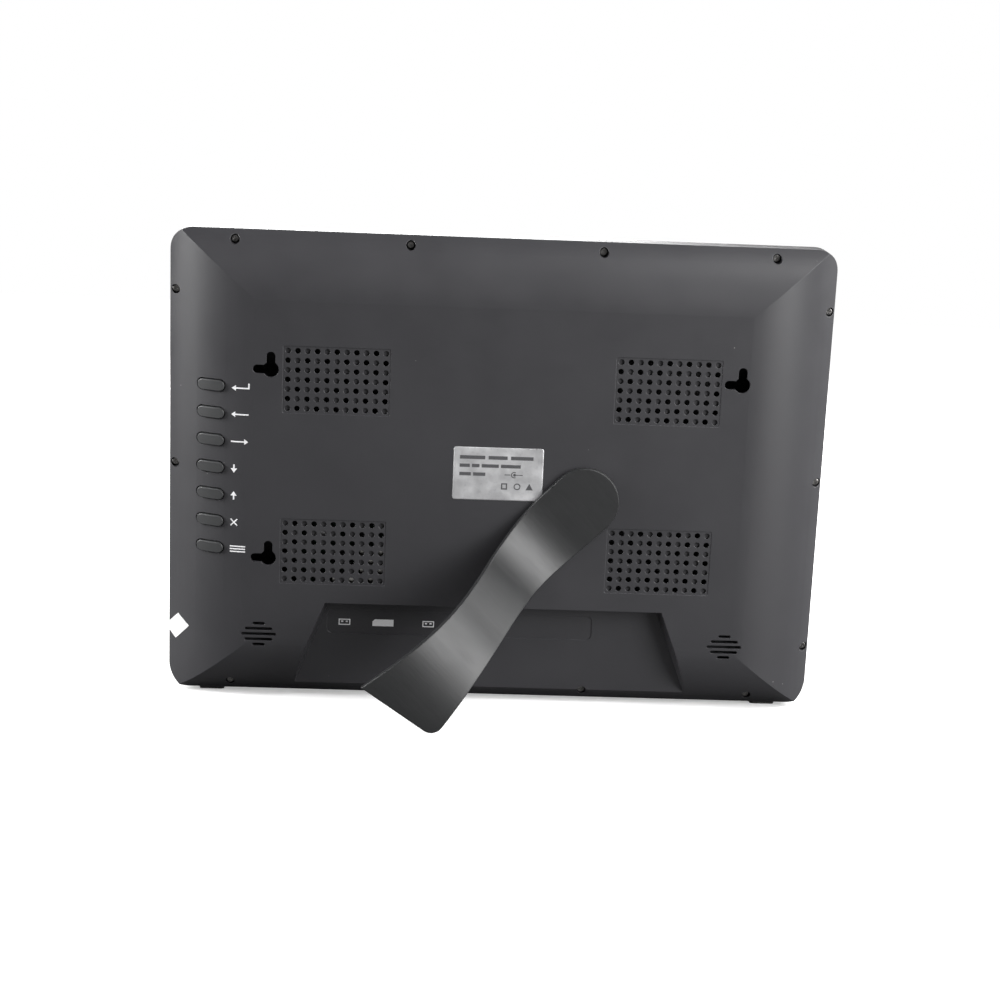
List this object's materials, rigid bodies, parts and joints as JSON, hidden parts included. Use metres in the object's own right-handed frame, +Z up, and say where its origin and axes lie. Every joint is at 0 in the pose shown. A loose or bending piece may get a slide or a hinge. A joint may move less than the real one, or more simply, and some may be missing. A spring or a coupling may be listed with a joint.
{
  "type": "digital photo frame",
  "caption": "Digital photo frame seen from the back: black case with curved shoulders, vents, keys, port recess and an S-bent swivelling diagonal leg.",
  "frame": {"origin": "middle of the footprint, on the surface that the frame stands on", "axes": "+Z up, +X along the long side, display faces -Y and leans back by 6.8 degrees, leg towards +Y"},
  "size_m": [0.3701, 0.1188, 0.2657],
  "materials": {
    "cover_plastic": "fine satin moulded black",
    "bezel_plastic": "polished black",
    "leg_plastic": "satin black",
    "button_plastic": "satin black",
    "switch_plunger": "black",
    "switch_body": "black",
    "black_steel": "black zinc",
    "plated_steel": "zinc plated",
    "display_steel": "black coated sheet",
    "socket_steel": "tin plated sheet",
    "speaker_steel": "black pressed steel",
    "magnet_ferrite": "ferrite",
    "display_glass": "display face, switched off",
    "clear_acrylic": "polished acrylic",
    "white_film": "white film",
    "lamp_board": "white lamp strip",
    "flat_cable": "flat flexible cable",
    "circuit_board": "dark green solder mask",
    "chip_resin": "black resin",
    "capacitor_can": "aluminium can",
    "jack_plastic": "black moulded",
    "foam_rubber": "black foam",
    "cone_paper": "black paper",
    "lead_plastic": "black sleeve",
    "label_foil": "silver grey foil paper",
    "seal_paper": "white paper",
    "foot_rubber": "black rubber"
  },
  "bodies": {
    "housing": {"board_capacitors": "capacitor_can", "board_chips": "chip_resin", "board_screws": "plated_steel", "bracket_screws": "plated_steel", "case_screws": "black_steel", "dc_jack": "jack_plastic", "diffuser_films": "white_film", "display_cable": "flat_cable", "earphone_jack": "jack_plastic", "front_bezel": "bezel_plastic", "key_board": "circuit_board", "key_board_screws": "plated_steel", "key_cable": "flat_cable", "lcd_back_plate": "display_steel", "lcd_brackets": "display_steel", "lcd_cell": "display_glass", "lcd_metal_frame": "display_steel", "led_strip": "lamp_board", "light_guide": "clear_acrylic", "main_board": "circuit_board", "rating_label": "label_foil", "rear_cover": "cover_plastic", "reflector_sheet": "white_film", "rubber_feet": "foot_rubber", "sd_card_socket": "socket_steel", "speaker_cones": "cone_paper", "speaker_frames": "speaker_steel", "speaker_gaskets": "foam_rubber", "speaker_leads": "lead_plastic", "speaker_magnets": "magnet_ferrite", "speaker_screws": "plated_steel", "tact_switches": "switch_body", "tamper_seal": "seal_paper", "usb_sockets": "socket_steel"},
    "leg": {"stand_leg": "leg_plastic", "leg_washer": "plated_steel", "leg_spring_washer": "plated_steel", "leg_screw": "plated_steel"},
    "key_enter": {"button_enter": "button_plastic", "plunger_enter": "switch_plunger"},
    "key_left": {"button_left": "button_plastic", "plunger_left": "switch_plunger"},
    "key_right": {"button_right": "button_plastic", "plunger_right": "switch_plunger"},
    "key_down": {"button_down": "button_plastic", "plunger_down": "switch_plunger"},
    "key_up": {"button_up": "button_plastic", "plunger_up": "switch_plunger"},
    "key_exit": {"button_exit": "button_plastic", "plunger_exit": "switch_plunger"},
    "key_menu": {"button_menu": "button_plastic", "plunger_menu": "switch_plunger"}
  },
  "joints": [
    {"name": "leg_swivel", "type": "hinge", "parent": "housing", "child": "leg", "pos_m": [-0.0479, -0.0104, 0.12031], "axis": [0, 0.993, -0.1184], "range_deg": [0, 90]},
    {"name": "press_enter", "type": "slide", "parent": "housing", "child": "key_enter", "axis": [0, -0.993, 0.1184], "range_m": [0, 0.0005], "stiffness_N_per_m": 1500},
    {"name": "press_left", "type": "slide", "parent": "housing", "child": "key_left", "axis": [0, -0.993, 0.1184], "range_m": [0, 0.0005], "stiffness_N_per_m": 1500},
    {"name": "press_right", "type": "slide", "parent": "housing", "child": "key_right", "axis": [0, -0.993, 0.1184], "range_m": [0, 0.0005], "stiffness_N_per_m": 1500},
    {"name": "press_down", "type": "slide", "parent": "housing", "child": "key_down", "axis": [0, -0.993, 0.1184], "range_m": [0, 0.0005], "stiffness_N_per_m": 1500},
    {"name": "press_up", "type": "slide", "parent": "housing", "child": "key_up", "axis": [0, -0.993, 0.1184], "range_m": [0, 0.0005], "stiffness_N_per_m": 1500},
    {"name": "press_exit", "type": "slide", "parent": "housing", "child": "key_exit", "axis": [0, -0.993, 0.1184], "range_m": [0, 0.0005], "stiffness_N_per_m": 1500},
    {"name": "press_menu", "type": "slide", "parent": "housing", "child": "key_menu", "axis": [0, -0.993, 0.1184], "range_m": [0, 0.0005], "stiffness_N_per_m": 1500}
  ]
}
